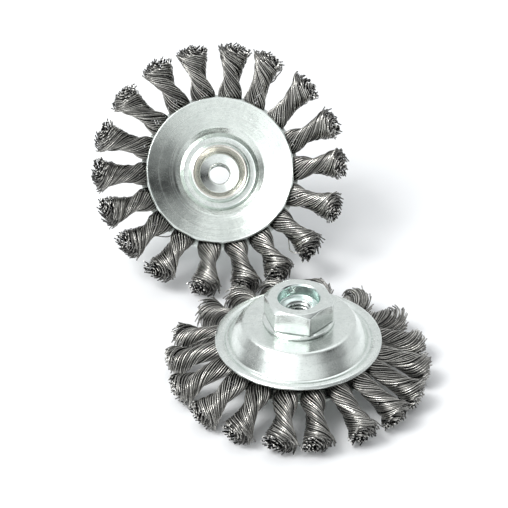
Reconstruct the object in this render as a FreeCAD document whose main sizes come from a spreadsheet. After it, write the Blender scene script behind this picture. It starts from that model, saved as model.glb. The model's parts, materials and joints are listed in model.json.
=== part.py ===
import FreeCAD, Part
import math
import os

import Sketcher

# Pair of conical twist-knot wire wheel brushes for a small angle grinder.
# Brush frame: z = 0 is the outer plate's flat top, the nut stands on it along +Z, the wires point
# outwards and down. The front brush rests on its wire tips, the rear one on its nut and two tufts.

KNOT_COUNT = 18
PITCH_DEG = 360.0 / KNOT_COUNT
PUNCH_LENGTH = 6.0
X_AXIS = FreeCAD.Vector(1, 0, 0)
Y_AXIS = FreeCAD.Vector(0, 1, 0)
Z_AXIS = FreeCAD.Vector(0, 0, 1)

# name: value in mm or degrees
DIMS = {
    # hub nut
    "nut_flats": 23.0,
    "collar_rad": 13.3,
    "collar_tall": 1.6,
    "nut_tall": 10.6,
    "nut_chamfer_rad": 11.6,
    "nut_chamfer_tall": 0.9,
    "mouth_rad": 7.6,
    "mouth_floor": 5.6,
    "thread_rad": 5.0,
    "thread_top": 4.3,
    "thread_foot": -5.2,
    "cup_rad": 7.9,
    "cup_roof": -6.0,
    "spigot_rad": 9.8,
    "lip_rad": 12.2,
    "lip_foot": -11.35,
    # outer plate
    "sheet_thick": 1.2,
    "plate_bore": 9.9,
    "crown_rad": 20.4,
    "crown_edge_rad": 21.6,
    "crown_edge_drop": -0.7,
    "cone_foot_rad": 26.2,
    "cone_foot_drop": -8.25,
    "rim_start_rad": 27.6,
    "rim_drop": -7.95,
    "outer_rim_rad": 31.0,
    # spacer and knot holder
    "spacer_rad": 13.6,
    "holder_top": -6.85,
    "holder_thick": 1.2,
    "holder_flat_rad": 15.0,
    "flange_edge_rad": 25.5,
    "flange_edge_drop": -11.4,
    "hole_ring_rad": 22.0,
    "hole_ring_drop": -10.45,
    "hole_rad": 2.4,
    "knot_slope": 23.5,
    # inner plate
    "floor_top": -8.05,
    "floor_rad": 14.4,
    "wall_rad": 16.5,
    "wall_drop": -10.8,
    "inner_rim_rad": 28.8,
    "inner_rim_drop": -16.15,
    "inner_thick": 1.35,
    # wire loop of one knot
    "loop_mid": 1.5,
    "loop_centre": 2.3,
    "loop_end": 6.4,
    "loop_half_thick": 0.75,
    "loop_half_wide": 2.1,
}

# Cross-sections of one twisted knot: distance along its axis from the holder hole, half width
# across and half thickness.
KNOT_SECTIONS = [
    (4.3, 3.0, 2.2),
    (8.6, 4.3, 2.2),
    (14.8, 3.2, 3.0),
    (19.8, 4.2, 4.0),
    (24.3, 5.7, 5.4),
    (27.8, 6.4, 6.0),
    (29.2, 4.8, 4.5),
]

# How far each knot leans sideways from its hole's direction, in degrees.
FRONT_LEANS = [-6, -8, -6, 0, 1, 2, -4, -8, -2, -6, -2, 2, 2, 3, -4, 0, 0, -6]
REAR_LEANS = [-1, 3, 7, 6, 0, -1, 5, 4, 1, -2, -5, -3, 0, -3, -2, -8, -4, -1]

doc = FreeCAD.newDocument("wire_wheel_pair")
sheet = doc.addObject("Spreadsheet::Sheet", "Dims")


def fill_sheet():
    """Write every driving dimension into the sheet under its own name."""
    values = dict(DIMS)
    for i, (along, half_wide, half_thick) in enumerate(KNOT_SECTIONS):
        values["knot_along_%s" % "abcdefg"[i]] = along
        values["knot_wide_%s" % "abcdefg"[i]] = half_wide
        values["knot_thick_%s" % "abcdefg"[i]] = half_thick
    for row, (name, value) in enumerate(values.items(), start=1):
        sheet.set("A%d" % row, name)
        sheet.set("B%d" % row, str(value))
        sheet.setAlias("B%d" % row, name)
    doc.recompute()


def origin_plane(body, role):
    """Return one of the body's own origin planes."""
    return [f for f in body.Origin.OriginFeatures if f.Role == role][0]


def new_body(label):
    body = doc.addObject("PartDesign::Body", label)
    body.Label = label
    return body


def new_sketch(body, name, role="XZ_Plane"):
    sketch = body.newObject("Sketcher::SketchObject", name)
    sketch.AttachmentSupport = [(origin_plane(body, role), "")]
    sketch.MapMode = "FlatFace"
    return sketch


def ref(text):
    """Turn 'rim_drop - sheet_thick' into an expression that reads the sheet."""
    return " ".join("Dims." + w if w in DIMS else w for w in text.split())


def outline(body, name, points):
    """Closed straight-edged outline through points given as sheet expressions (radius, height)."""
    sketch = new_sketch(body, name)
    seed = [FreeCAD.Vector(value_of(x), value_of(y), 0) for x, y in points]
    count = len(points)
    for i in range(count):
        sketch.addGeometry(Part.LineSegment(seed[i], seed[(i + 1) % count]), False)
    for i in range(count):
        sketch.addConstraint(Sketcher.Constraint("Coincident", i, 2, (i + 1) % count, 1))
    for i, (x_text, y_text) in enumerate(points):
        for kind, text, value in (("DistanceX", x_text, seed[i].x), ("DistanceY", y_text, seed[i].y)):
            index = sketch.addConstraint(Sketcher.Constraint(kind, -1, 1, i, 1, value))
            sketch.setExpression("Constraints[%d]" % index, ref(text))
    return sketch


def value_of(text):
    """Value of a sum such as 'rim_drop - sheet_thick'."""
    total = 0.0
    sign = 1.0
    for word in text.split():
        if word in "+-":
            sign = -1.0 if word == "-" else 1.0
            continue
        total += sign * (DIMS[word] if word in DIMS else float(word))
    return total


def turn(body, sketch, kind, name):
    """Revolve or groove a sketch a full turn about the brush axis."""
    feature = body.newObject("PartDesign::" + kind, name)
    feature.Profile = sketch
    feature.ReferenceAxis = (sketch, ["V_Axis"])
    feature.Angle = 360.0
    sketch.Visibility = False
    return feature


def make_hub_nut(label):
    """Hex nut with round collar, long spigot and a lip rolled over the inner plate."""
    body = new_body(label)
    hexagon = new_sketch(body, label + "_hexagon", "XY_Plane")
    corner = DIMS["nut_flats"] / 2 / math.cos(math.radians(30))
    spots = [math.radians(60 * k) for k in range(6)]
    corners = [FreeCAD.Vector(corner * math.cos(a), corner * math.sin(a), 0) for a in spots]
    for i in range(6):
        hexagon.addGeometry(Part.LineSegment(corners[i], corners[(i + 1) % 6]), False)
    inscribed = Part.Circle(FreeCAD.Vector(0, 0, 0), FreeCAD.Vector(0, 0, 1), DIMS["nut_flats"] / 2)
    ring = hexagon.addGeometry(inscribed, True)
    for i in range(6):
        hexagon.addConstraint(Sketcher.Constraint("Coincident", i, 2, (i + 1) % 6, 1))
        hexagon.addConstraint(Sketcher.Constraint("Tangent", i, ring))
    for i in range(4):
        hexagon.addConstraint(Sketcher.Constraint("Equal", i, i + 1))
    hexagon.addConstraint(Sketcher.Constraint("Coincident", ring, 3, -1, 1))
    hexagon.addConstraint(Sketcher.Constraint("PointOnObject", 0, 1, -1))
    index = hexagon.addConstraint(Sketcher.Constraint("Radius", ring, DIMS["nut_flats"] / 2))
    hexagon.setExpression("Constraints[%d]" % index, "Dims.nut_flats / 2")
    pad = body.newObject("PartDesign::Pad", label + "_hex")
    pad.Profile = hexagon
    pad.setExpression("Length", "Dims.nut_tall")
    hexagon.Visibility = False
    core = outline(body, label + "_core_outline", [
        ("thread_rad", "collar_tall"),
        ("collar_rad - 0.4", "collar_tall"),
        ("collar_rad", "collar_tall - 0.4"),
        ("collar_rad", "0"),
        ("spigot_rad", "0"),
        ("spigot_rad", "floor_top - sheet_thick"),
        ("lip_rad - 0.5", "floor_top - sheet_thick"),
        ("lip_rad", "floor_top - sheet_thick - 0.6"),
        ("lip_rad - 0.3", "lip_foot + 0.7"),
        ("lip_rad - 1.3", "lip_foot"),
        ("cup_rad + 1.2", "lip_foot"),
        ("cup_rad + 0.3", "lip_foot + 0.5"),
        ("cup_rad", "lip_foot + 1.4"),
        ("cup_rad", "cup_roof"),
        ("thread_rad + 0.8", "cup_roof"),
        ("thread_rad", "thread_foot"),
    ])
    turn(body, core, "Revolution", label + "_core")
    mouth = outline(body, label + "_mouth_outline", [
        ("0", "nut_tall + 1"),
        ("mouth_rad + 1.3", "nut_tall + 1"),
        ("mouth_rad", "nut_tall - 0.3"),
        ("mouth_rad", "mouth_floor + 0.5"),
        ("mouth_rad - 0.6", "mouth_floor"),
        ("thread_rad", "thread_top"),
        ("thread_rad", "0 - 1"),
        ("0", "0 - 1"),
    ])
    turn(body, mouth, "Groove", label + "_mouth")
    bevel = outline(body, label + "_bevel_outline", [
        ("nut_chamfer_rad", "nut_tall"),
        ("nut_chamfer_rad + 3", "nut_tall - nut_chamfer_tall - nut_chamfer_tall"),
        ("nut_chamfer_rad + 3", "nut_tall"),
    ])
    turn(body, bevel, "Groove", label + "_bevel")
    return body


def make_outer_plate(label):
    """Domed plate: flat crown, steep cone, shallow groove, flat rim."""
    body = new_body(label)
    section = outline(body, label + "_outline", [
        ("plate_bore", "0"),
        ("crown_rad", "0"),
        ("crown_edge_rad", "crown_edge_drop"),
        ("cone_foot_rad", "cone_foot_drop"),
        ("rim_start_rad", "rim_drop"),
        ("outer_rim_rad - 0.35", "rim_drop"),
        ("outer_rim_rad", "rim_drop - 0.4"),
        ("outer_rim_rad", "rim_drop - sheet_thick"),
        ("rim_start_rad - 0.2", "rim_drop - sheet_thick"),
        ("cone_foot_rad - 0.6", "cone_foot_drop - 1"),
        ("crown_edge_rad - 1", "crown_edge_drop - 1.1"),
        ("crown_rad - 0.5", "0 - sheet_thick"),
        ("plate_bore", "0 - sheet_thick"),
    ])
    turn(body, section, "Revolution", label + "_dome")
    return body


def make_spacer_ring(label):
    """Plain ring on the spigot that keeps the holder off the outer plate."""
    body = new_body(label)
    section = outline(body, label + "_outline", [
        ("plate_bore", "0 - sheet_thick"),
        ("spacer_rad", "0 - sheet_thick"),
        ("spacer_rad", "holder_top"),
        ("plate_bore", "holder_top"),
    ])
    turn(body, section, "Revolution", label + "_ring")
    return body


def make_holder_disc(label):
    """Dished disc with one hole per knot in its conical flange."""
    body = new_body(label)
    section = outline(body, label + "_outline", [
        ("plate_bore", "holder_top"),
        ("holder_flat_rad + 0.2", "holder_top"),
        ("flange_edge_rad + 0.34", "flange_edge_drop"),
        ("flange_edge_rad - 0.34", "flange_edge_drop - holder_thick + 0.16"),
        ("holder_flat_rad - 0.2", "holder_top - holder_thick"),
        ("plate_bore", "holder_top - holder_thick"),
    ])
    turn(body, section, "Revolution", label + "_dish")
    hole = new_sketch(body, label + "_hole_outline", "XY_Plane")
    hole.AttachmentOffset = FreeCAD.Placement(
        FreeCAD.Vector(DIMS["hole_ring_rad"], 0, DIMS["hole_ring_drop"]),
        FreeCAD.Rotation(FreeCAD.Vector(0, 1, 0), DIMS["knot_slope"]))
    hole.setExpression("AttachmentOffset.Base.x", "Dims.hole_ring_rad")
    hole.setExpression("AttachmentOffset.Base.z", "Dims.hole_ring_drop")
    edge = Part.Circle(FreeCAD.Vector(0, 0, 0), FreeCAD.Vector(0, 0, 1), DIMS["hole_rad"])
    hole.addGeometry(edge, False)
    hole.addConstraint(Sketcher.Constraint("Coincident", 0, 3, -1, 1))
    index = hole.addConstraint(Sketcher.Constraint("Radius", 0, DIMS["hole_rad"]))
    hole.setExpression("Constraints[%d]" % index, "Dims.hole_rad")
    doc.recompute()
    punch = body.newObject("PartDesign::Pocket", label + "_hole")
    punch.Profile = hole
    punch.Midplane = True
    punch.Length = PUNCH_LENGTH
    hole.Visibility = False
    ring = body.newObject("PartDesign::PolarPattern", label + "_holes")
    ring.Originals = [punch]
    ring.Axis = (origin_axis(body, "Z_Axis"), [""])
    ring.Angle = 360.0
    ring.Occurrences = KNOT_COUNT
    body.Tip = ring
    return body


def origin_axis(body, role):
    """Return one of the body's own origin axes."""
    return [f for f in body.Origin.OriginFeatures if f.Role == role][0]


def make_inner_plate(label):
    """Dished plate on the work side: flat floor, steep wall, wide cone with a rounded rim."""
    body = new_body(label)
    section = outline(body, label + "_outline", [
        ("plate_bore", "floor_top"),
        ("floor_rad", "floor_top"),
        ("wall_rad", "wall_drop"),
        ("inner_rim_rad", "inner_rim_drop"),
        ("inner_rim_rad + 0.1", "inner_rim_drop - 0.5"),
        ("inner_rim_rad - 0.4", "inner_rim_drop - inner_thick"),
        ("wall_rad - 0.9", "wall_drop - inner_thick + 0.2"),
        ("floor_rad - 0.8", "floor_top - sheet_thick"),
        ("plate_bore", "floor_top - sheet_thick"),
    ])
    turn(body, section, "Revolution", label + "_dish")
    return body


def ellipse_sketch(body, name, letter, lean):
    """One cross-section of a knot, square to its axis and shifted sideways by the lean."""
    sketch = new_sketch(body, name, "XY_Plane")
    i = "abcdefg".index(letter)
    along, half_wide, half_thick = KNOT_SECTIONS[i]
    sketch.AttachmentOffset = FreeCAD.Placement(FreeCAD.Vector(0, 0, along), FreeCAD.Rotation())
    sketch.setExpression("AttachmentOffset.Base.z", "Dims.knot_along_" + letter)
    shift = math.tan(math.radians(lean)) * (along - KNOT_SECTIONS[0][0])
    centre = FreeCAD.Vector(0, shift, 0)
    sketch.addGeometry(Part.Ellipse(FreeCAD.Vector(0, shift + half_wide, 0),
                                    FreeCAD.Vector(half_thick, shift, 0), centre), False)
    sketch.exposeInternalGeometry(0)
    major = sketch.addConstraint(Sketcher.Constraint("Distance", 1, 2 * half_wide))
    minor = sketch.addConstraint(Sketcher.Constraint("Distance", 2, 2 * half_thick))
    sketch.setExpression("Constraints[%d]" % major, "2 * Dims.knot_wide_" + letter)
    sketch.setExpression("Constraints[%d]" % minor, "2 * Dims.knot_thick_" + letter)
    sketch.addConstraint(Sketcher.Constraint("Vertical", 1))
    sketch.addConstraint(Sketcher.Constraint("PointOnObject", 0, 3, -2))
    sketch.addConstraint(Sketcher.Constraint("DistanceY", -1, 1, 0, 3, shift))
    sketch.Visibility = False
    return sketch


def make_knot(label, lean):
    """Twisted wire knot: a folded loop through the holder hole and the flared bundle."""
    body = new_body(label)
    path = new_sketch(body, label + "_loop_path", "XZ_Plane")
    mid = DIMS["loop_mid"]
    start = DIMS["loop_centre"]
    end = DIMS["loop_end"]
    path.addGeometry(Part.LineSegment(FreeCAD.Vector(mid, end, 0), FreeCAD.Vector(mid, start, 0)), False)
    bend = Part.Circle(FreeCAD.Vector(0, start, 0), FreeCAD.Vector(0, 0, 1), mid)
    path.addGeometry(Part.ArcOfCircle(bend, math.pi, 2 * math.pi), False)
    path.addGeometry(Part.LineSegment(FreeCAD.Vector(-mid, start, 0), FreeCAD.Vector(-mid, end, 0)), False)
    path.addConstraint(Sketcher.Constraint("Tangent", 0, 2, 1, 2))
    path.addConstraint(Sketcher.Constraint("Tangent", 1, 1, 2, 1))
    path.addConstraint(Sketcher.Constraint("PointOnObject", 1, 3, -2))
    path.addConstraint(Sketcher.Constraint("Horizontal", 0, 1, 2, 2))
    path.addConstraint(Sketcher.Constraint("Vertical", 0))
    for kind, geo, pos, name in (("DistanceX", 0, 1, "loop_mid"), ("DistanceY", 0, 1, "loop_end"),
                                 ("DistanceY", 1, 3, "loop_centre")):
        index = path.addConstraint(Sketcher.Constraint(kind, -1, 1, geo, pos, DIMS[name]))
        path.setExpression("Constraints[%d]" % index, "Dims." + name)
    strand = new_sketch(body, label + "_loop_strand", "XY_Plane")
    strand.AttachmentOffset = FreeCAD.Placement(FreeCAD.Vector(0, 0, end), FreeCAD.Rotation())
    strand.setExpression("AttachmentOffset.Base.z", "Dims.loop_end")
    wide = DIMS["loop_half_wide"]
    thick = DIMS["loop_half_thick"]
    strand.addGeometry(Part.Ellipse(FreeCAD.Vector(mid, wide, 0), FreeCAD.Vector(mid + thick, 0, 0),
                                    FreeCAD.Vector(mid, 0, 0)), False)
    strand.exposeInternalGeometry(0)
    for geo, name, value in ((1, "loop_half_wide", wide), (2, "loop_half_thick", thick)):
        index = strand.addConstraint(Sketcher.Constraint("Distance", geo, 2 * value))
        strand.setExpression("Constraints[%d]" % index, "2 * Dims." + name)
    strand.addConstraint(Sketcher.Constraint("Vertical", 1))
    strand.addConstraint(Sketcher.Constraint("PointOnObject", 0, 3, -1))
    index = strand.addConstraint(Sketcher.Constraint("DistanceX", -1, 1, 0, 3, mid))
    strand.setExpression("Constraints[%d]" % index, "Dims.loop_mid")
    doc.recompute()
    loop = body.newObject("PartDesign::AdditivePipe", label + "_loop")
    loop.Profile = strand
    loop.Spine = (path, [])
    loop.Mode = "Standard"
    path.Visibility = False
    strand.Visibility = False
    sections = [ellipse_sketch(body, "%s_section_%s" % (label, c), c, lean) for c in "abcdefg"]
    bundle = body.newObject("PartDesign::AdditiveLoft", label + "_bundle")
    bundle.Profile = sections[0]
    bundle.Sections = sections[1:]
    bundle.Ruled = False
    return body


def knot_placement(index):
    """Seat of a knot: its hole's centre, axis pointing outwards and down the slope."""
    turn_deg = PITCH_DEG * index
    spot = math.radians(turn_deg)
    radius = DIMS["hole_ring_rad"]
    around = FreeCAD.Rotation(FreeCAD.Vector(0, 0, 1), turn_deg)
    slope = FreeCAD.Rotation(FreeCAD.Vector(0, 1, 0), 90 + DIMS["knot_slope"])
    seat = FreeCAD.Vector(radius * math.cos(spot), radius * math.sin(spot), DIMS["hole_ring_drop"])
    return FreeCAD.Placement(seat, around.multiply(slope))


def make_brush(side, leans, nut_turn):
    """All pieces of one brush with their placements in the brush frame."""
    turned = {
        "hub_nut": make_hub_nut,
        "outer_plate": make_outer_plate,
        "spacer_ring": make_spacer_ring,
        "holder_disc": make_holder_disc,
        "inner_plate": make_inner_plate,
    }
    pieces = [(make("%s_%s" % (side, name)), FreeCAD.Placement()) for name, make in turned.items()]
    pieces[0][1].Rotation = FreeCAD.Rotation(Z_AXIS, nut_turn)
    for i, lean in enumerate(leans):
        pieces.append((make_knot("%s_knot_%02d" % (side, i + 1), lean), knot_placement(i)))
    return pieces


def place_brush(pieces, placement):
    """Put every piece of a brush at the brush's placement and return its bounding box."""
    box = FreeCAD.BoundBox()
    for body, local in pieces:
        body.Placement = placement.multiply(local)
        box.add(body.Shape.optimalBoundingBox(True, False))
    return box


# How the two brushes stand: plan offset of the rear one, its tilt back from lying nut down on the
# table, and the turn of each nut and of the rear brush about the brush axis.
REAR_SHIFT_X = -30.3
REAR_SHIFT_Y = 97.4
REAR_LEAN_DEG = 48.5
REAR_ROLL_DEG = 2.6
REAR_SPIN_DEG = -4.1
FRONT_NUT_DEG = -13.0
REAR_NUT_DEG = 5.6

fill_sheet()
front = make_brush("front", FRONT_LEANS, FRONT_NUT_DEG)
rear = make_brush("rear", REAR_LEANS, REAR_NUT_DEG)
doc.recompute()

front_pose = FreeCAD.Placement()
rear_turn = FreeCAD.Rotation(Y_AXIS, REAR_ROLL_DEG)
rear_turn = rear_turn.multiply(FreeCAD.Rotation(X_AXIS, 180 + REAR_LEAN_DEG))
rear_turn = rear_turn.multiply(FreeCAD.Rotation(Z_AXIS, REAR_SPIN_DEG))
rear_pose = FreeCAD.Placement(FreeCAD.Vector(REAR_SHIFT_X, REAR_SHIFT_Y, 0), rear_turn)

# Both brushes touch the table, and the pair is centred over the origin.
front_box = place_brush(front, front_pose)
rear_box = place_brush(rear, rear_pose)
front_pose.move(FreeCAD.Vector(0, 0, -front_box.ZMin))
rear_pose.move(FreeCAD.Vector(0, 0, -rear_box.ZMin))
centre_x = (min(front_box.XMin, rear_box.XMin) + max(front_box.XMax, rear_box.XMax)) / 2
centre_y = (min(front_box.YMin, rear_box.YMin) + max(front_box.YMax, rear_box.YMax)) / 2
for pieces, pose in ((front, front_pose), (rear, rear_pose)):
    pose.move(FreeCAD.Vector(-centre_x, -centre_y, 0))
    place_brush(pieces, pose)
doc.recompute()

for obj in doc.Objects:
    if "Invalid" in obj.State or "Error" in obj.State:
        raise RuntimeError("%s did not compute: %s" % (obj.Label, obj.State))

os.makedirs("parts", exist_ok=True)
for body, _ in front + rear:
    shape = body.Shape
    if shape.isNull() or not shape.isValid() or len(shape.Solids) != 1:
        raise RuntimeError("%s is not one valid solid" % body.Label)
    shape.exportStep("parts/%s.step" % body.Label)
    print(body.Label, round(shape.Volume, 1))

print("front pose", front_pose)
print("rear pose", rear_pose)
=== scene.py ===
import json
import math

import bpy
import numpy as np
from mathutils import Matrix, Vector


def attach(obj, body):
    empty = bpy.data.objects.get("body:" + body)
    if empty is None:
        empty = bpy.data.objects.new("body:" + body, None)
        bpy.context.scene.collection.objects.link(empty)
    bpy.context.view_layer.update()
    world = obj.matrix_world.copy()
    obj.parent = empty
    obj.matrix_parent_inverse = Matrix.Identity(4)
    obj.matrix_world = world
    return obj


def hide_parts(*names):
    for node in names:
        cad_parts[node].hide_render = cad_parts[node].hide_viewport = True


# Two conical twist-knot wire wheel brushes on a pale table: the front one with its nut up, the
# rear one showing its hollow work side. Lengths inside a brush are in millimetres in its own
# frame: z = 0 is the flat crown of the outer plate, +z points out of the nut's mouth, and x points
# at the first knot's hole.

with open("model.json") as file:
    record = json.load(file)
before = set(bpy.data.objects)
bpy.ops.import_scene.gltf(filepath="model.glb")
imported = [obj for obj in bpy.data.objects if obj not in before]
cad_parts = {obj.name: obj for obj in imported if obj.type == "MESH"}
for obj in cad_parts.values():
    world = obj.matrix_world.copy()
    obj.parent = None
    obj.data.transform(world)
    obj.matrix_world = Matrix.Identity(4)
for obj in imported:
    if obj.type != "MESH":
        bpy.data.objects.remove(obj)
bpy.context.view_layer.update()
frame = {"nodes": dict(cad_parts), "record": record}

MM = 0.001
RNG = np.random.default_rng(20240)
SIDES = ("front", "rear")
KNOT_COUNT = 18

# --- places read from the frame ---------------------------------------------------------------

# Height of the thread's mount in the brush frame.
THREAD_MID = -0.45
# Depth of the slice of the first knot, next to the axis, that gives the direction of its hole.
ROOT_SLICE = 0.5


def mount(name):
    """A mount of the record by its name."""
    return next(m for m in frame["record"]["mounts"] if m["name"] == name)


def node_points(name):
    """Vertices of a CAD node in the row frame, in millimetres."""
    mesh = frame["nodes"][name].data
    flat = np.empty(len(mesh.vertices) * 3)
    mesh.vertices.foreach_get("co", flat)
    return flat.reshape(-1, 3) / MM


def unit(vector):
    return vector / np.linalg.norm(vector)


class Brush:
    """The frame of one brush in the row frame, found from its thread mount and its first knot."""

    def __init__(self, side):
        thread = mount(side + "_spindle_thread")
        self.side = side
        self.body = side + "_brush"
        z_axis = unit(np.array(thread["axis"]))
        self.origin = np.array(thread["pos_m"]) / MM - THREAD_MID * z_axis
        first = node_points(side + "_knot_01") - self.origin
        flat = first - np.outer(first @ z_axis, z_axis)
        reach = np.linalg.norm(flat, axis=1)
        x_axis = unit(flat[reach < reach.min() + ROOT_SLICE].mean(axis=0))
        self.axes = np.array([x_axis, np.cross(z_axis, x_axis), z_axis])

    def to_row(self, points):
        return points @ self.axes + self.origin

    def to_brush(self, points):
        return (points - self.origin) @ self.axes.T


BRUSHES = [Brush(side) for side in SIDES]


# --- mesh helpers -----------------------------------------------------------------------------

FILLET_STEPS = 7
# Most of a straight run that the fillet at one of its ends may take.
FILLET_SHARE = 0.48
# Corners with a fillet under this radius are worn bright.
WORN_FILLET = 0.6
# Longest step along the outline of a lathed ring, and the steps round it.
LONGEST_STEP = 0.8
PLATE_AROUND = 288


def make_piece(name, brush, points, faces, materials,
               face_slots=None, values=None, flat_faces=None):
    """One mesh piece from brush-frame points; brush_pos keeps those points for the materials."""
    mesh = bpy.data.meshes.new(name)
    row = brush.to_row(points) * MM
    loops = np.concatenate([np.asarray(f).ravel() for f in faces])
    sizes = np.concatenate([np.full(len(f), np.asarray(f).shape[1]) for f in faces])
    starts = np.concatenate([[0], np.cumsum(sizes)[:-1]])
    mesh.vertices.add(len(row))
    mesh.vertices.foreach_set("co", row.ravel())
    mesh.loops.add(len(loops))
    mesh.loops.foreach_set("vertex_index", loops.astype(np.int32))
    mesh.polygons.add(len(sizes))
    mesh.polygons.foreach_set("loop_start", starts.astype(np.int32))
    mesh.polygons.foreach_set("use_smooth", np.ones(len(sizes), dtype=bool))
    for material in materials:
        mesh.materials.append(material)
    if face_slots is not None:
        mesh.polygons.foreach_set("material_index", np.asarray(face_slots, dtype=np.int32))
    if flat_faces is not None:
        mesh.polygons.foreach_set("use_smooth", ~np.asarray(flat_faces, dtype=bool))
    mesh.update(calc_edges=True)
    mesh.validate()
    place = mesh.attributes.new("brush_pos", "FLOAT_VECTOR", "POINT")
    place.data.foreach_set("vector", np.asarray(points, dtype=np.float32).ravel())
    for key, data in (values or {}).items():
        stored = mesh.attributes.new(key, "FLOAT", "POINT")
        stored.data.foreach_set("value", data.astype(np.float32))
    piece = bpy.data.objects.new(name, mesh)
    bpy.context.scene.collection.objects.link(piece)
    return piece


def grid_faces(rows, columns):
    """Quads of a grid that closes on itself both ways."""
    a = np.arange(rows)[:, None] * columns + np.arange(columns)[None, :]
    b = np.roll(a, -1, axis=1)
    c = np.roll(b, -1, axis=0)
    d = np.roll(a, -1, axis=0)
    return np.stack([a, b, c, d], axis=-1).reshape(-1, 4)


def rounded_outline(corners):
    """Closed outline of (radius, height, fillet) corners, each turned through a small arc.

    The second result is 1 at the points of a worn edge and 0 elsewhere.
    """
    points = []
    edge = []
    count = len(corners)
    for i, (x, z, fillet) in enumerate(corners):
        here = np.array([x, z])
        back = np.array(corners[i - 1][:2]) - here
        ahead = np.array(corners[(i + 1) % count][:2]) - here
        u = unit(back)
        v = unit(ahead)
        half = math.acos(float(np.clip(u @ v, -1, 1))) / 2
        room = FILLET_SHARE * min(np.linalg.norm(back), np.linalg.norm(ahead))
        reach = min(fillet / math.tan(half), room)
        radius = reach * math.tan(half)
        centre = here + unit(u + v) * radius / math.sin(half)
        start = here + u * reach - centre
        end = here + v * reach - centre
        sweep = math.atan2(start[0] * end[1] - start[1] * end[0], start @ end)
        for t in np.linspace(0, 1, FILLET_STEPS):
            c, s = math.cos(sweep * t), math.sin(sweep * t)
            turned = np.array([c * start[0] - s * start[1], s * start[0] + c * start[1]])
            points.append(centre + turned)
            edge.append(1.0 if fillet < WORN_FILLET else 0.0)
    return np.array(points), np.array(edge)


def refine(points, edge):
    """Adds points on the long straight runs of an outline, where the wear fades from its ends."""
    out_points = []
    out_edge = []
    for i, a in enumerate(points):
        after = (i + 1) % len(points)
        b = points[after]
        parts = max(1, int(np.linalg.norm(b - a) / LONGEST_STEP))
        for k in range(parts):
            t = k / parts
            out_points.append(a + (b - a) * t)
            out_edge.append(max(edge[i] * (1 - 2 * t), edge[after] * (2 * t - 1), 0.0))
    return np.array(out_points), np.array(out_edge)


def outward(faces, outline):
    """Flips the faces of a lathed outline that runs the wrong way round."""
    x, z = outline[:, 0], outline[:, 1]
    area = 0.5 * np.sum(x * np.roll(z, -1) - np.roll(x, -1) * z)
    return faces if area < 0 else faces[:, ::-1]


def lathe(name, brush, corners, material):
    """A pressed ring from the corners of its outline."""
    outline, edge = refine(*rounded_outline(corners))
    turn = np.linspace(0, 2 * math.pi, PLATE_AROUND, endpoint=False)
    r = outline[:, 0][:, None]
    z = outline[:, 1][:, None]
    points = np.stack([r * np.cos(turn), r * np.sin(turn), z + 0 * turn], axis=-1).reshape(-1, 3)
    faces = outward(grid_faces(len(outline), PLATE_AROUND), outline)
    return make_piece(name, brush, points, [faces], [material],
                      values={"edge": np.repeat(edge, PLATE_AROUND)})


# --- materials --------------------------------------------------------------------------------

# Noise scales in these materials are per millimetre where they read brush_pos, and per metre where
# they read object coordinates.

# Colours laid over the zinc: stain, dark specks, the warm tint of the rolled lip, the cool tint of
# the nut's mouth, painted shade in the thread roots and round the collar, and worn edges.
ZINC_STAIN = (0.60, 0.66, 0.61)
ZINC_SPECK = (0.40, 0.45, 0.43)
ZINC_WARM = (0.72, 0.66, 0.58)
ZINC_COOL = (0.58, 0.76, 0.73)
ZINC_PAINTED_SHADE = (0.09, 0.11, 0.11)
ZINC_WORN = (0.80, 0.85, 0.83)
HIDDEN_DARK = (0.20, 0.20, 0.19)
HIDDEN_LIGHT = (0.42, 0.41, 0.39)
WIRE_DARK = (0.19, 0.185, 0.173)
WIRE_LIGHT = (0.98, 0.96, 0.90)
WIRE_PATCH = (0.13, 0.127, 0.119)
WIRE_PAINTED_SHADE = (0.02, 0.02, 0.02)
CUT_DARK = (0.55, 0.54, 0.51)
CUT_LIGHT = (0.85, 0.84, 0.80)


def link(tree, source, target):
    tree.links.new(source, target)


def node(tree, kind, **settings):
    """A new node with its settings."""
    made = tree.nodes.new(kind)
    for key, value in settings.items():
        setattr(made, key, value)
    return made


def calc(tree, operation, *inputs):
    """A Math node; inputs are sockets or numbers."""
    made = node(tree, "ShaderNodeMath", operation=operation)
    for i, value in enumerate(inputs):
        if isinstance(value, (int, float)):
            made.inputs[i].default_value = value
        else:
            link(tree, value, made.inputs[i])
    return made.outputs[0]


def noise(tree, vector, scale, detail, roughness):
    """Value of a Noise Texture node."""
    made = node(tree, "ShaderNodeTexNoise")
    made.inputs["Scale"].default_value = scale
    made.inputs["Detail"].default_value = detail
    made.inputs["Roughness"].default_value = roughness
    link(tree, vector, made.inputs["Vector"])
    return made.outputs[0]


def spread(tree, value, low, high, to_low, to_high):
    """Maps low..high to to_low..to_high, clamped."""
    made = node(tree, "ShaderNodeMapRange")
    link(tree, value, made.inputs["Value"])
    made.inputs["From Min"].default_value = low
    made.inputs["From Max"].default_value = high
    made.inputs["To Min"].default_value = to_low
    made.inputs["To Max"].default_value = to_high
    return made.outputs[0]


def blend_colours(tree, factor, first, second):
    """Mix of two colours, given as tuples or sockets; factor is a socket."""
    made = node(tree, "ShaderNodeMix", data_type="RGBA")
    link(tree, factor, made.inputs[0])
    for socket, colour in ((made.inputs[6], first), (made.inputs[7], second)):
        if isinstance(colour, tuple):
            socket.default_value = (*colour, 1.0)
        else:
            link(tree, colour, socket)
    return made.outputs[2]


def new_material(name):
    """A material, its node tree and its shader."""
    material = bpy.data.materials.new(name)
    material.use_nodes = True
    tree = material.node_tree
    return material, tree, tree.nodes["Principled BSDF"]


def attribute(tree, name, output="Fac"):
    """A value that make_piece stored on the mesh; 0 where the mesh has none of that name."""
    return node(tree, "ShaderNodeAttribute", attribute_name=name).outputs[output]


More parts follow.
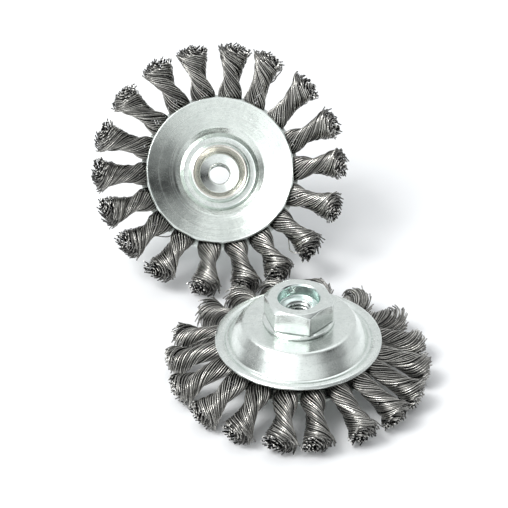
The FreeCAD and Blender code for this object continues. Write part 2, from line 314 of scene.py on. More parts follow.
def bump(tree, shader, height, strength, distance):
    """Fine relief from a height socket; distance is in metres."""
    made = node(tree, "ShaderNodeBump")
    made.inputs["Strength"].default_value = strength
    made.inputs["Distance"].default_value = distance
    link(tree, height, made.inputs["Height"])
    link(tree, made.outputs[0], shader.inputs["Normal"])


def zinc(name, light, dark, rough, line_strength, speckle, ripple):
    """Bright zinc plate over pressed or turned steel.

    It has fine and broad rings round the axis, grain, specks and a cloudy tone. The mesh says where
    an edge is worn bright, where shade is painted dark in recesses, and where the tint is warm (1)
    or cool (-1).
    """
    material, tree, shader = new_material(name)
    place = attribute(tree, "brush_pos", "Vector")
    parts = node(tree, "ShaderNodeSeparateXYZ")
    link(tree, place, parts.inputs[0])
    x, y, z = parts.outputs
    squares = calc(tree, "ADD", calc(tree, "MULTIPLY", x, x), calc(tree, "MULTIPLY", y, y))
    radius = calc(tree, "SQRT", squares)
    ring_place = node(tree, "ShaderNodeCombineXYZ")
    link(tree, radius, ring_place.inputs[0])
    link(tree, z, ring_place.inputs[1])
    rings = noise(tree, ring_place.outputs[0], 3.2, 4.0, 0.6)
    broad_rings = noise(tree, ring_place.outputs[0], 0.62, 2.0, 0.5)
    grain = noise(tree, place, 4.5, 3.0, 0.65)
    clouds = noise(tree, place, 0.16, 3.0, 0.55)
    specks = noise(tree, place, 1.6, 2.0, 0.5)
    blotches = noise(tree, place, 0.6, 4.0, 0.7)
    patchy = calc(tree, "ADD", calc(tree, "MULTIPLY", clouds, 0.4),
                  calc(tree, "MULTIPLY", blotches, 0.35))
    tone = calc(tree, "ADD", patchy, calc(tree, "MULTIPLY", rings, 0.25))
    colour = blend_colours(tree, spread(tree, tone, 0.35, 0.65, 0.0, 1.0), dark, light)
    tint = attribute(tree, "tint")
    layers = (
        (spread(tree, calc(tree, "MULTIPLY", specks, clouds), 0.33, 0.42, 0.0, 0.35), ZINC_STAIN),
        (spread(tree, specks, 0.62, 0.7, 0.0, 0.4), ZINC_SPECK),
        (spread(tree, tint, 0.0, 1.0, 0.0, 0.7), ZINC_WARM),
        (spread(tree, tint, 0.0, -1.0, 0.0, 0.4), ZINC_COOL),
        # Painted shade: darkens the thread roots, the collar's foot and the groove under the hex.
        (calc(tree, "MULTIPLY", attribute(tree, "painted_shade"), 0.85), ZINC_PAINTED_SHADE),
        (calc(tree, "MULTIPLY", attribute(tree, "edge"), 0.5), ZINC_WORN),
    )
    for share, laid_over in layers:
        colour = blend_colours(tree, share, colour, laid_over)
    link(tree, colour, shader.inputs["Base Color"])
    shader.inputs["Metallic"].default_value = 1.0
    grainy = spread(tree, grain, 0.3, 0.7, rough - 0.05, rough + 0.09)
    cloudy = spread(tree, clouds, 0.35, 0.65, -0.04, 0.05)
    streaks = spread(tree, broad_rings, 0.56, 0.68, 0.0, 0.03 * ripple)
    uneven = calc(tree, "ADD", calc(tree, "ADD", grainy, cloudy), streaks)
    link(tree, uneven, shader.inputs["Roughness"])
    fine = calc(tree, "ADD", calc(tree, "MULTIPLY", grain, 0.3),
                calc(tree, "MULTIPLY", specks, speckle))
    lines = calc(tree, "ADD", calc(tree, "MULTIPLY", rings, line_strength),
                 calc(tree, "MULTIPLY", broad_rings, ripple))
    bump(tree, shader, calc(tree, "ADD", lines, fine), 0.35, 0.00006)
    return material


def plain_steel(name):
    """Dull mild steel of the hidden holder and spacer."""
    material, tree, shader = new_material(name)
    coordinates = node(tree, "ShaderNodeTexCoord").outputs["Object"]
    clouds = noise(tree, coordinates, 300.0, 4.0, 0.6)
    colour = blend_colours(tree, clouds, HIDDEN_DARK, HIDDEN_LIGHT)
    link(tree, colour, shader.inputs["Base Color"])
    shader.inputs["Metallic"].default_value = 1.0
    link(tree, spread(tree, clouds, 0.3, 0.7, 0.35, 0.6), shader.inputs["Roughness"])
    bump(tree, shader, noise(tree, coordinates, 2500.0, 3.0, 0.6), 0.3, 0.00005)
    return material


def wire_steel(name):
    """Drawn steel wire: every wire its own tone, painted shade in the depth and between wires, fine
    marks along its length.
    """
    material, tree, shader = new_material(name)
    tone = attribute(tree, "wire_tone")
    depth = attribute(tree, "wire_painted_light")
    place = attribute(tree, "brush_pos", "Vector")
    patches = noise(tree, place, 0.9, 3.0, 0.6)
    colour = blend_colours(tree, tone, WIRE_DARK, WIRE_LIGHT)
    colour = blend_colours(tree, spread(tree, patches, 0.45, 0.7, 0.0, 0.45), colour, WIRE_PATCH)
    # Painted shade: dark deep in the bundle and on the sides of the wires that face each other.
    colour = blend_colours(tree, depth, WIRE_PAINTED_SHADE, colour)
    link(tree, colour, shader.inputs["Base Color"])
    shader.inputs["Metallic"].default_value = 1.0
    marks = noise(tree, place, 9.0, 2.0, 0.6)
    polish = spread(tree, tone, 0.0, 1.0, 0.36, 0.20)
    scratches = spread(tree, marks, 0.3, 0.7, -0.05, 0.08)
    link(tree, calc(tree, "ADD", polish, scratches), shader.inputs["Roughness"])
    bump(tree, shader, marks, 0.25, 0.00003)
    return material


def cut_steel(name):
    """Bright sheared ends of the wires."""
    material, tree, shader = new_material(name)
    marks = noise(tree, attribute(tree, "brush_pos", "Vector"), 12.0, 2.0, 0.6)
    link(tree, blend_colours(tree, marks, CUT_DARK, CUT_LIGHT), shader.inputs["Base Color"])
    shader.inputs["Metallic"].default_value = 1.0
    link(tree, spread(tree, marks, 0.3, 0.7, 0.25, 0.45), shader.inputs["Roughness"])
    bump(tree, shader, marks, 0.3, 0.00003)
    return material


NUT_ZINC = zinc(
    "nut_zinc", light=(0.885, 0.92, 0.89), dark=(0.715, 0.76, 0.73),
    rough=0.17, line_strength=0.5, speckle=0.35, ripple=0.0)
OUTER_ZINC = zinc(
    "outer_plate_zinc_plate", light=(0.87, 0.91, 0.875), dark=(0.725, 0.77, 0.74),
    rough=0.22, line_strength=0.6, speckle=0.6, ripple=0.6)
INNER_ZINC = zinc(
    "inner_plate_zinc_plate", light=(0.815, 0.86, 0.815), dark=(0.615, 0.66, 0.625),
    rough=0.21, line_strength=0.8, speckle=2.2, ripple=3.0)
HIDDEN_STEEL = plain_steel("hidden_mild_steel")
WIRE_STEEL = wire_steel("drawn_wire_steel")
CUT_STEEL = cut_steel("sheared_wire_ends")


# --- pressed plates ---------------------------------------------------------------------------

# Corners are (radius, height, fillet radius).
OUTER_PLATE = [
    (9.9, 0.0, 0.1), (20.9, 0.0, 2.2), (23.6, -3.85, 9.0), (26.1, -8.35, 0.6),
    (27.0, -8.6, 0.25), (27.5, -8.1, 0.3), (28.7, -7.75, 1.6), (30.2, -7.95, 1.2),
    (31.0, -8.5, 0.3), (31.0, -9.15, 0.25), (27.8, -9.15, 0.7), (25.7, -9.4, 0.8),
    (22.7, -4.7, 6.0), (20.0, -1.2, 1.6), (9.9, -1.2, 0.1),
]
INNER_PLATE = [
    (9.9, -9.25, 0.1), (14.1, -9.25, 0.5), (15.5, -11.3, 1.5), (17.5, -12.75, 3.5),
    (27.9, -17.25, 0.7), (28.4, -17.5, 0.3), (28.95, -16.9, 0.3), (28.8, -16.15, 0.25),
    (16.6, -10.85, 1.2), (14.5, -8.05, 0.6), (9.9, -8.05, 0.1),
]


def build_plates(brush):
    """The ribbed outer plate and the dished inner plate, each over its CAD node."""
    outer = lathe(brush.side + "_outer_plate_pressing", brush, OUTER_PLATE, OUTER_ZINC)
    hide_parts(brush.side + "_outer_plate")
    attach(outer, brush.body)
    inner = lathe(brush.side + "_inner_plate_pressing", brush, INNER_PLATE, INNER_ZINC)
    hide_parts(brush.side + "_inner_plate")
    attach(inner, brush.body)


# --- hub nut ----------------------------------------------------------------------------------

NUT_AROUND = 264
NUT_HALF_FLATS = 11.5
NUT_TOP = 10.6
NUT_CHAMFER_START = 11.15
NUT_CHAMFER_SLOPE = 0.58
# Powers that round the hexagon's corners and the line where the chamfer meets the flats.
HEX_SHARPNESS = 60
CHAMFER_SHARPNESS = 160
# Angle between faces, in degrees, from which their shared edge is drawn sharp.
SHARP_ANGLE = 50
COLLAR_TOP = 1.6
COLLAR_RAD = 13.3
# Painted shade at the collar's foot on the crown and in the groove under the hex.
COLLAR_FOOT_SHADE = 0.45
COLLAR_GROOVE_SHADE = 0.4
MOUTH_RAD = 7.6
MOUTH_BEVEL = 0.5
MOUTH_FLOOR = 5.9
THREAD_RAD = 5.0
THREAD_CREST = 4.25
THREAD_PITCH = 1.5
THREAD_TOP = 5.1
THREAD_FOOT = -4.4
THREAD_ROWS = 78
# The ridge grows to full depth within the first length, and runs out within the second.
THREAD_LEAD_IN = 0.15
THREAD_RUNOUT = 0.8
# Height of the ridge at its middle, cut off at 1 for a flat crest, and its fall over one pitch.
RIDGE_PEAK = 1.25
RIDGE_FALL = 3.2
TAIL_BORE_RAD = 3.95
CUP_RAD = 7.82
CUP_ROOF = -6.05
CUP_CONE_DEPTH = 1.0
LIP_CREST_RAD = 10.55
LIP_FOOT = -11.35
LIP_ROUND = 0.95
LIP_RIPPLE = 0.035
LIP_TURNS = 5
LIP_SEAT = -9.27
SPIGOT_RAD = 9.8


def hexagon(turn):
    """Radius of a hexagon with slightly rounded corners; turn is measured from a corner."""
    total = sum(np.abs(np.cos(turn - math.radians(30 + 60 * k))) ** HEX_SHARPNESS for k in range(3))
    return NUT_HALF_FLATS / total ** (1.0 / HEX_SHARPNESS)


def nut_corner_turn(brush):
    """Direction of one hexagon corner of the CAD nut, in the brush frame."""
    points = brush.to_brush(node_points(brush.side + "_hub_nut"))
    head = points[points[:, 2] > COLLAR_TOP + 0.5]
    far = head[np.hypot(head[:, 0], head[:, 1]).argmax()]
    return math.atan2(far[1], far[0])


def thread_rows(turn):
    """Rows of the threaded wall from its mouth down, where a ridge climbs one pitch a turn.

    Returns the radii of each row, the heights, and the painted shade, which lies between the
    ridges.
    """
    heights = np.linspace(THREAD_TOP, THREAD_FOOT, THREAD_ROWS)
    fade = np.clip((THREAD_TOP - heights) / THREAD_LEAD_IN, 0, 1)[:, None]
    phase = (heights[:, None] / THREAD_PITCH - turn[None, :] / (2 * math.pi)) % 1.0
    ridge = np.clip(RIDGE_PEAK - np.abs(phase - 0.5) * RIDGE_FALL, 0, 1)
    runout = np.clip((heights - THREAD_FOOT) / THREAD_RUNOUT, 0, 1)[:, None]
    depth = (THREAD_RAD - THREAD_CREST) * ridge * fade
    tail = THREAD_RAD - TAIL_BORE_RAD
    painted_shade = (1 - ridge) * fade * runout
    return THREAD_RAD - depth * runout - tail * (1 - runout), heights, painted_shade


def arc_rows(centre_r, centre_z, radius, start, end, count):
    """(radius, height) of rows along an arc of the nut's outline; angles are in degrees."""
    angles = np.radians(np.linspace(start, end, count))
    return [(centre_r + radius * math.cos(a), centre_z + radius * math.sin(a)) for a in angles]


def build_nut(brush):
    """Hex head, collar, counterbored mouth, thread, cup and the lip rolled over the inner plate."""
    turn = np.linspace(0, 2 * math.pi, NUT_AROUND, endpoint=False)
    hex_rad = hexagon(turn - nut_corner_turn(brush))
    rows = []
    edges = []

    def add(radius, height, edge=0.0):
        """One row round the nut; edge says how worn it is."""
        rows.append((radius + 0 * turn, height + 0 * turn))
        edges.append(edge)

    # Collar, then the flats up to the chamfered corners.
    add(SPIGOT_RAD, 0.02)
    add(COLLAR_RAD - 0.55, 0.02)
    add(COLLAR_RAD - 0.1, 0.3)
    last_foot = len(rows)
    add(COLLAR_RAD - 0.05, 0.4)
    add(COLLAR_RAD, 0.5)
    for r, z in arc_rows(COLLAR_RAD - 0.3, COLLAR_TOP - 0.6, 0.3, 0, 75, 6):
        add(r, z, 0.6)
    for t in (0.05, 0.35, 0.7, 0.9):
        add((COLLAR_RAD - 0.4) * (1 - t) + t * (hex_rad - 0.05), COLLAR_TOP - 0.28 + 0.3 * t)
    first_groove = len(rows)
    for inset, lift in ((0.35, 0.0), (0.5, 0.1), (0.5, 0.35), (0.1, 0.48)):
        add(hex_rad - inset, COLLAR_TOP + lift)
    last_groove = len(rows)
    for height in np.linspace(COLLAR_TOP + 0.56, NUT_TOP - 1.6, 12):
        add(hex_rad, height)
    for height in np.linspace(NUT_TOP - 1.5, NUT_TOP - 0.02, 26):
        cone = NUT_CHAMFER_START + (NUT_TOP - height) / NUT_CHAMFER_SLOPE
        total = hex_rad ** -CHAMFER_SHARPNESS + cone ** -CHAMFER_SHARPNESS
        add(total ** (-1 / CHAMFER_SHARPNESS), height, 0.5)
    # Flat seat ring, bevelled mouth, wall, shoulder.
    for radius in np.linspace(NUT_CHAMFER_START - 0.1, MOUTH_RAD + MOUTH_BEVEL + 0.1, 7):
        add(radius, NUT_TOP)
    first_cool = len(rows)
    for t in np.linspace(0, 1, 4):
        add(MOUTH_RAD + MOUTH_BEVEL * (1 - t), NUT_TOP - 0.03 - MOUTH_BEVEL * t, 1.0)
    for height in np.linspace(NUT_TOP - 0.9, MOUTH_FLOOR + 0.8, 7):
        add(MOUTH_RAD, height)
    for r, z in arc_rows(MOUTH_RAD - 0.5, MOUTH_FLOOR + 0.5, 0.5, 0, -60, 6):
        add(r, z, 0.2)
    for t in np.linspace(0.15, 1.0, 6):
        add(MOUTH_RAD - 0.3 + (THREAD_RAD + 0.45 - MOUTH_RAD) * t,
            MOUTH_FLOOR + 0.05 - 0.75 * t)
    last_cool = len(rows)
    # Thread and the plain end of its bore.
    thread_radii, thread_heights, thread_painted_shade = thread_rows(turn)
    first_thread = len(rows)
    for radii, height in zip(thread_radii, thread_heights):
        add(radii, height)
    # Cup under the thread, and the rolled lip.
    for r, z in ((0.0, 1.3), (0.0, 1.0), (0.15, 0.72), (0.55, 0.5)):
        add(TAIL_BORE_RAD + r, CUP_ROOF + z, 1.0)
    for t in np.linspace(0, 1, 8):
        add(TAIL_BORE_RAD + 0.65 + (CUP_RAD - TAIL_BORE_RAD - 1.0) * t,
            CUP_ROOF + 0.45 - CUP_CONE_DEPTH * t)
    for r, z in ((0.2, 0.62), (0.05, 0.7), (-0.05, 0.95), (0.0, 1.3)):
        add(CUP_RAD - r, CUP_ROOF - z)
    first_warm = len(rows)
    for t in np.linspace(0, 1, 25):
        ripple = LIP_RIPPLE * math.cos(2 * math.pi * LIP_TURNS * t)
        add(CUP_RAD + 0.04 + 1.86 * t, CUP_ROOF - 1.6 - 3.25 * t ** 0.8 + ripple)
    for r, z in arc_rows(LIP_CREST_RAD, LIP_FOOT + LIP_ROUND, LIP_ROUND, -150, -95, 6):
        add(r, z, 0.3)
    add(LIP_CREST_RAD + 0.05, LIP_FOOT + 0.1)
    last_warm = len(rows)
    for r, z in arc_rows(LIP_CREST_RAD, LIP_FOOT + LIP_ROUND, LIP_ROUND, -80, -10, 8):
        add(r, z, 0.3)
    for t in np.linspace(0.1, 1, 6):
        add(LIP_CREST_RAD + 0.95 + 0.65 * t, LIP_FOOT + 0.78 + 1.25 * t)
    add(LIP_CREST_RAD + 1.5, LIP_SEAT)
    add(SPIGOT_RAD, LIP_SEAT)
    for height in np.linspace(LIP_SEAT + 1.2, -0.5, 5):
        add(SPIGOT_RAD, height)

    count = len(rows)
    radii = np.array([r for r, _ in rows])
    heights = np.array([h for _, h in rows])
    points = np.stack([radii * np.cos(turn), radii * np.sin(turn), heights], axis=-1)
    outline = np.stack([radii.mean(axis=1), heights.mean(axis=1)], axis=-1)
    faces = outward(grid_faces(count, NUT_AROUND), outline)
    # Painted shade in the thread roots, at the collar's foot and in the groove under the hex.
    painted_shade = np.zeros((count, NUT_AROUND))
    painted_shade[first_thread:first_thread + THREAD_ROWS] = thread_painted_shade
    painted_shade[:last_foot] = COLLAR_FOOT_SHADE
    painted_shade[first_groove:last_groove] = COLLAR_GROOVE_SHADE
    tint = np.zeros(count)
    tint[first_warm:last_warm] = 1.0
    tint[first_cool:last_cool] = -1.0
    piece = make_piece(brush.side + "_hub_nut_turned", brush, points.reshape(-1, 3), [faces],
                       [NUT_ZINC], values={"edge": np.repeat(edges, NUT_AROUND),
                                           "tint": np.repeat(tint, NUT_AROUND),
                                           "painted_shade": painted_shade.ravel()})
    piece.data.set_sharp_from_angle(angle=math.radians(SHARP_ANGLE))
    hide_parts(brush.side + "_hub_nut")
    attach(piece, brush.body)


# --- twisted wire knots -----------------------------------------------------------------------

# Knot frame, in millimetres: origin in the holder hole, z outwards along the knot's slope, y round
# the brush, x towards the work side.
HOLE_RING_RAD = 22.0
HOLE_DROP = -10.45
KNOT_SLOPE = math.radians(23.5)
WIRE_RAD = 0.235
WIRE_SIDES = 5
BUNDLE_START = 3.4
BUNDLE_END = 29.5
# How much shorter the outermost wires end than the middle ones.
DOME_DROP = 2.4
# The knot leans sideways from here on, to its tip in the frame; the tip is its last slice.
LEAN_FROM = 4.3
TIP_SLICE = 0.3

# Along the knot: distance, half width round the brush, half thickness, depth of the two grooves
# between the strands, twist in radians per mm.
BUNDLE_ALONG = np.array([3.0, 5.0, 8.0, 11.0, 14.5, 17.0, 20.0, 23.5, 26.3, 28.2, 29.8])
BUNDLE_WIDE = np.array([2.8, 3.5, 4.6, 4.6, 3.85, 3.5, 4.0, 5.3, 6.35, 6.3, 5.1])
BUNDLE_THICK = np.array([1.9, 2.15, 2.35, 2.7, 3.15, 3.4, 3.95, 5.0, 5.9, 5.9, 4.8])
LOBE_DEPTH = np.array([0.05, 0.08, 0.12, 0.18, 0.24, 0.25, 0.2, 0.14, 0.1, 0.08, 0.08])
TWIST_RATE = np.array([0.08, 0.10, 0.13, 0.17, 0.22, 0.25, 0.27, 0.30, 0.34, 0.38, 0.40])
GROOVE_WIDTH = 0.45
# Where the bundle begins to flare and the length over which it does; its ridges grow along it.
FLARE_FROM = 12.0
FLARE_LENGTH = 16.0
RIDGE_HEIGHT = 0.035
# Differences between knots: twist, turn of the strands in radians either way, size of the flare.
TWIST_SPREAD = (0.9, 1.12)
PHASE_SPREAD = 0.5
SIZE_SPREAD = (0.95, 1.04)

# Rings of wires across the bundle: number of wires, place between centre and surface at the waist
# and at the tip, distance along the knot where its wires start, rows of points.
RINGS = [
    (22, 0.955, 0.965, BUNDLE_START, 34),
    (20, 0.78, 0.89, BUNDLE_START, 26),
    (16, 0.61, 0.75, 7.0, 18),
    (14, 0.40, 0.57, 17.0, 14),
    (9, 0.22, 0.38, 18.0, 12),
    (4, 0.07, 0.15, 19.0, 11),
]
# Where the rings change from their place at the waist to the one at the tip.
WIDEN_FROM = 15.5
WIDEN_LENGTH = 9.0
SHORT_WIRE_SHARE = 0.1
SHORT_WIRE_ENDS = (18.5, 27.0)
END_SPREAD = (-0.9, 0.7)
# Unevenness of the lay: spacing as a share of a step, drift round the bundle in radians, and
# looseness as a share of the wire's distance from the middle.
SPACING_SPREAD = 0.17
DRIFT = 0.035
LOOSENESS = 0.012
# Cut ends: the length that springs straight, how straight it gets, and the step that measures the
# wire's direction there; the length that frays, and how far.
SPRING_LENGTH = (0.9, 2.2)
SPRING_SHARE = (0.1, 0.75)
HEADING_STEP = 0.25
FRAY_LENGTH = 3.0
FRAY_SIZE = 0.22
# Tones run from this one to 1, with rather more light wires than dark ones.
DARKEST_TONE = 0.12
TONE_SHAPE = (1.0, 0.75)
# Painted shade darkens wires deep in the bundle: the ring where the fading would reach 0, the range
# of rings from there to full brightness, the least share, and the length of a cut end left
# unshaded.
DEEP_RING = 0.6
DEEP_RANGE = 0.34
DEEP_LEVEL = 0.35
BRIGHT_END = 3.2
# Painted shade round the wire's section, from its outer side on: its sides that face other wires go
# dark.
SPOKE_PAINTED_LIGHT = np.array([1.0, 0.33, 0.03, 0.03, 0.33])


def smooth(values, where):
    """Smooth curve through the values at BUNDLE_ALONG."""
    slopes = np.gradient(values, BUNDLE_ALONG)
    i = np.clip(np.searchsorted(BUNDLE_ALONG, where) - 1, 0, len(values) - 2)
    span = BUNDLE_ALONG[i + 1] - BUNDLE_ALONG[i]
    t = np.clip((where - BUNDLE_ALONG[i]) / span, 0, 1)
    return ((2 * t ** 3 - 3 * t ** 2 + 1) * values[i]
            + (t ** 3 - 2 * t ** 2 + t) * span * slopes[i]
            + (3 * t ** 2 - 2 * t ** 3) * values[i + 1]
            + (t ** 3 - t ** 2) * span * slopes[i + 1])


TWIST_STEPS = np.linspace(BUNDLE_ALONG[0], BUNDLE_ALONG[-1] + 1.0, 400)
TWIST_GAINS = smooth(TWIST_RATE, TWIST_STEPS)[:-1] * np.diff(TWIST_STEPS)
TWIST_TURN = np.concatenate([[0.0], np.cumsum(TWIST_GAINS)])


def twist_at(along):
    """Turn of the bundle, in radians, from its start to a distance along it."""
    return np.interp(along, TWIST_STEPS, TWIST_TURN)


class Knot:
    """Place of one knot, read from the frame, with its own lay of the wires."""

    def __init__(self, brush, number):
        self.name = "%s_knot_%02d" % (brush.side, number)
        spot = 2 * math.pi * (number - 1) / KNOT_COUNT
        out = np.array([math.cos(spot), math.sin(spot), 0.0])
        up = np.array([0.0, 0.0, 1.0])
        x_axis = -(math.sin(KNOT_SLOPE) * out + math.cos(KNOT_SLOPE) * up)
        y_axis = np.array([-math.sin(spot), math.cos(spot), 0.0])
        z_axis = math.cos(KNOT_SLOPE) * out - math.sin(KNOT_SLOPE) * up
        self.origin = HOLE_RING_RAD * out + HOLE_DROP * up
        self.axes = np.array([x_axis, y_axis, z_axis])
        local = (brush.to_brush(node_points(self.name)) - self.origin) @ self.axes.T
        tip = local[local[:, 2] > local[:, 2].max() - TIP_SLICE]
        middle = (tip[:, 1].min() + tip[:, 1].max()) / 2
        self.lean = middle / (tip[:, 2].mean() - LEAN_FROM)
        self.twist = RNG.uniform(*TWIST_SPREAD)
        self.phase = math.pi / 2 + RNG.uniform(-PHASE_SPREAD, PHASE_SPREAD)
        self.size = RNG.uniform(*SIZE_SPREAD)
        self.ridges = RNG.uniform(0, 2 * math.pi, 3)

    def to_brush(self, points):
        """Knot-frame points, leaned sideways, in the brush frame."""
        leaned = points.copy()
        leaned[..., 1] += self.lean * np.clip(points[..., 2] - LEAN_FROM, 0, None)
        return leaned @ self.axes + self.origin

    def lay(self, around, ring, along):
        """Points of wires at angles round the rotating bundle, and their final angles.

        ring is the place between the bundle's centre and its surface; all arguments broadcast.
        """
        angle = self.phase + around - twist_at(along) * self.twist
        groove = np.abs((around % math.pi) - math.pi / 2)
        lobe = 1 - smooth(LOBE_DEPTH, along) * np.exp(-(groove / GROOVE_WIDTH) ** 2)
        flare = np.clip((along - FLARE_FROM) / FLARE_LENGTH, 0, 1)
        ridge = (np.cos(5 * around + self.ridges[0]) + np.cos(8 * around + self.ridges[1])
                 + 0.6 * np.cos(3 * around + self.ridges[2]))
        scale = (ring * lobe * (1 + RIDGE_HEIGHT * flare * ridge)
                 * (1 + (self.size - 1) * flare))
        x = smooth(BUNDLE_THICK, along) * scale * np.cos(angle)
        y = smooth(BUNDLE_WIDE, along) * scale * np.sin(angle)
        return np.stack([x, y, along + 0 * angle], axis=-1), angle


def sweep_tubes(paths, lean_on):
    """Wires along (wires, rows, 3) paths; lean_on points to each wire's outer side."""
    ahead = np.gradient(paths, axis=1)
    ahead /= np.linalg.norm(ahead, axis=-1, keepdims=True)
    side = lean_on - np.sum(lean_on * ahead, axis=-1, keepdims=True) * ahead
    side /= np.linalg.norm(side, axis=-1, keepdims=True)
    third = np.cross(ahead, side)
    spokes = 2 * math.pi * np.arange(WIRE_SIDES) / WIRE_SIDES
    ring = (np.cos(spokes)[:, None] * side[:, :, None, :]
            + np.sin(spokes)[:, None] * third[:, :, None, :])
    points = paths[:, :, None, :] + WIRE_RAD * ring
    wires, rows = paths.shape[:2]
    index = np.arange(wires * rows * WIRE_SIDES).reshape(wires, rows, WIRE_SIDES)
    a = index[:, :-1]
    b = np.roll(a, -1, axis=2)
    d = index[:, 1:]
    c = np.roll(d, -1, axis=2)
    walls = np.stack([a, b, c, d], axis=-1).reshape(-1, 4)
    caps = np.concatenate([index[:, 0, ::-1], index[:, -1]])
    return points.reshape(-1, 3), walls, caps


def outer_side(angle):
    """Directions away from the bundle's middle, in the knot frame."""
    return np.stack([np.cos(angle), np.sin(angle), 0 * angle], axis=-1)


def knot_wires(knot):
    """Paths, outer sides, tones and painted shade (as the share of light left) of every wire, ring
    by ring.
    """
    sets = []
    start_turn = RNG.uniform(0, 2 * math.pi)
    for layer, (count, waist_ring, tip_ring, start, rows) in enumerate(RINGS):
        shift = RNG.uniform(-SPACING_SPREAD, SPACING_SPREAD, count)
        around = 2 * math.pi * (np.arange(count) + 0.5 * layer + shift) / count + start_turn
        end = BUNDLE_END + RNG.uniform(*END_SPREAD, count) - DOME_DROP * tip_ring ** 2
        if layer == 0:
            short = RNG.random(count) < SHORT_WIRE_SHARE
            end = np.where(short, RNG.uniform(*SHORT_WIRE_ENDS, count), end)
        around, end = around[:, None], end[:, None]
        along = start + (end - start) * np.linspace(0, 1, rows) ** 0.9
        rise = np.clip((along - WIDEN_FROM) / WIDEN_LENGTH, 0, 1)
        ring = waist_ring + (tip_ring - waist_ring) * rise * rise * (3 - 2 * rise)
        wander = RNG.uniform(0, 2 * math.pi, (count, 1))
        drift = DRIFT * np.sin(0.4 * along + wander) * np.clip((along - 5) / 10, 0, 1)
        loose = ring * (1 + RNG.normal(0, LOOSENESS, (count, 1))
                        + LOOSENESS * np.sin(0.6 * along + 2 * wander))
        paths, angle = knot.lay(around + drift, loose, along)
        # Each cut end springs straight along its own direction.
        back = RNG.uniform(*SPRING_LENGTH, (count, 1))
        root_along = end - back
        root, _ = knot.lay(around, tip_ring, root_along)
        near, _ = knot.lay(around, tip_ring, root_along - HEADING_STEP)
        heading = (root - near) / HEADING_STEP
        straight = root + heading * (along - root_along)[..., None]
        spring = (np.clip((along - root_along) / back, 0, 1)[..., None]
                  * RNG.uniform(*SPRING_SHARE, (count, 1, 1)))
        paths = paths * (1 - spring) + straight * spring
        fray = np.clip((along - (end - FRAY_LENGTH)) / FRAY_LENGTH, 0, 1)[..., None] ** 2
        paths = paths + fray * RNG.normal(0, FRAY_SIZE, (count, 1, 3)) * (0.5 + ring[..., None])
        tone = DARKEST_TONE + (1 - DARKEST_TONE) * RNG.beta(*TONE_SHAPE, count)
        # Painted shade on the inner rings, but not on the last stretch of a cut end.
        open_end = np.clip(1 - (end - along) / BRIGHT_END, 0, 1)
        shown = np.clip((ring - DEEP_RING) / DEEP_RANGE, DEEP_LEVEL, 1) ** 2
        sets.append((paths, outer_side(angle), tone, np.maximum(shown, open_end)))
    return sets


# Wires folded through the holder's hole: the offsets of their two layers from the middle of the
# bend, its radius and centre, their number and spread round the brush, the rows of each one and
# the share of them in the bend, and the length of the legs.
LOOP_LAYERS = (-0.26, 0.26)
LOOP_MID = 1.5
LOOP_CENTRE = 2.3
LOOPS_ACROSS = 7
LOOPS_HALF_WIDTH = 1.75
LOOP_ROWS = 16
BEND_SHARE = 0.55
LOOP_LEG = 2.6
LOOP_TONES = (0.2, 0.8)
# Painted shade on the folded wires, which sit between the plates: the share of light they keep.
LOOP_PAINTED_LIGHT = 0.5


def loop_wires():
    """Folded wires that pass through the holder's hole, from over its flange to under it."""
    rows = np.linspace(-1, 1, LOOP_ROWS)
    arc = np.clip(rows / BEND_SHARE, -1, 1) * math.pi / 2
    leg = np.clip(np.abs(rows) - BEND_SHARE, 0, None) / (1 - BEND_SHARE) * LOOP_LEG
    paths = []
    for layer in LOOP_LAYERS:
        bend = LOOP_MID - layer
        for side_place in np.linspace(-LOOPS_HALF_WIDTH, LOOPS_HALF_WIDTH, LOOPS_ACROSS):
            x = bend * np.sin(arc)
            z = LOOP_CENTRE - bend * np.cos(arc) + leg
            paths.append(np.stack([x, side_place + 0 * x, z], axis=-1))
    paths = np.array(paths)
    leaning = np.broadcast_to(np.array([0.0, 1.0, 0.0]), paths.shape)
    tones = RNG.uniform(*LOOP_TONES, len(paths))
    return paths, leaning, tones, np.full(paths.shape[:2], LOOP_PAINTED_LIGHT)


# Single wires that have sprung out of a knot: angle round the bundle at the start, first and last
# distance along the knot, how far they bow out. They turn less than the bundle does.
BOWED_ROWS = 26
BOWED_TURN_SHARE = 0.75
BOWED_RING = 0.97
BOWED_TONE = 0.8
BOWED_WIRES = {
    "front_knot_15": [(1.2, 17.0, 27.5, 3.2)],
    "front_knot_09": [(2.0, 12.0, 22.0, 1.2)],
    "rear_knot_08": [(-1.4, 4.5, 16.0, 2.2)],
    "rear_knot_03": [(1.3, 17.0, 27.0, 2.4)],
    "rear_knot_16": [(2.6, 16.0, 26.5, 1.5)],
}


def bowed_wires(knot):
    """The sprung wires of one knot, in the form that knot_wires gives."""
    sets = []
    steps = np.linspace(0, 1, BOWED_ROWS)
    for spot, first, last, bow in BOWED_WIRES.get(knot.name, []):
        along = (first + (last - first) * steps)[None, :]
        around = (spot + twist_at(first) - knot.phase
                  + BOWED_TURN_SHARE * (twist_at(along) - twist_at(first)))
        paths, angle = knot.lay(around, BOWED_RING, along)
        leaning = outer_side(angle)
        paths = paths + leaning * (bow * np.sin(math.pi * steps) ** 1.2)[None, :, None]
        sets.append((paths, leaning, np.array([BOWED_TONE]), np.ones_like(along)))
    return sets


# Least gap between a wire and the table, and the height over which its bend up begins.
TABLE_GAP = 0.03
TABLE_EASE = 0.5


def keep_above_table(brush, paths):
    """Wire ends that would dip into the table bend up and lie on it."""
    row = brush.to_row(paths)
    lowest = WIRE_RAD + TABLE_GAP
    dip = np.clip(lowest + TABLE_EASE - row[..., 2], 0, None)
    raised = lowest + TABLE_EASE * np.exp(-dip / TABLE_EASE)
    row[..., 2] = np.where(dip > 0, raised, row[..., 2])
    return brush.to_brush(row)


